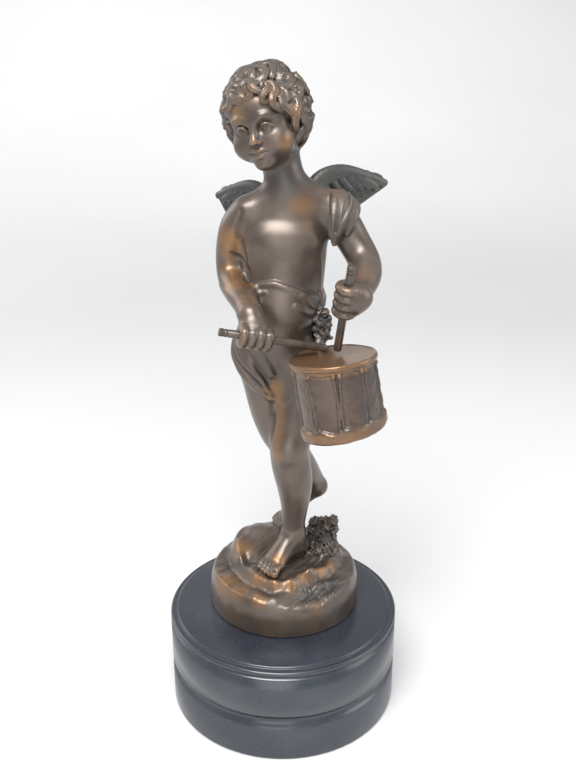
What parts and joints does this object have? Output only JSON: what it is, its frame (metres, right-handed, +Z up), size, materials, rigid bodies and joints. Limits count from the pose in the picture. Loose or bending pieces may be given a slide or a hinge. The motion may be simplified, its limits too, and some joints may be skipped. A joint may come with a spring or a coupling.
{
  "type": "bronze cherub drummer statuette",
  "caption": "Bronze winged boy walking on a rocky ground and beating a small drum at the hip, on a turned black marble plinth.",
  "frame": {"origin": "centre of the plinth's underside, on the surface that the statuette stands on", "axes": "+Z up through the plinth's axis, -Y towards the viewer whom the boy walks to, +X to the viewer's right, which is the boy's left"},
  "size_m": [0.104, 0.104, 0.2836],
  "materials": {
    "black_marble": "polished black marble with a soft sheen",
    "brown_bronze": "satin dark brown patina, rubbed warmer on the high places",
    "grey_green_bronze": "matt grey-green patina over brown",
    "worn_bronze": "satin brown patina worn to orange bronze on the hoops"
  },
  "bodies": {
    "root": {"plinth": "black_marble", "figure": "brown_bronze", "wing_left": "grey_green_bronze", "wing_right": "grey_green_bronze", "drum": "worn_bronze", "drumstick_left": "brown_bronze", "drumstick_right": "brown_bronze"}
  },
  "joints": []
}
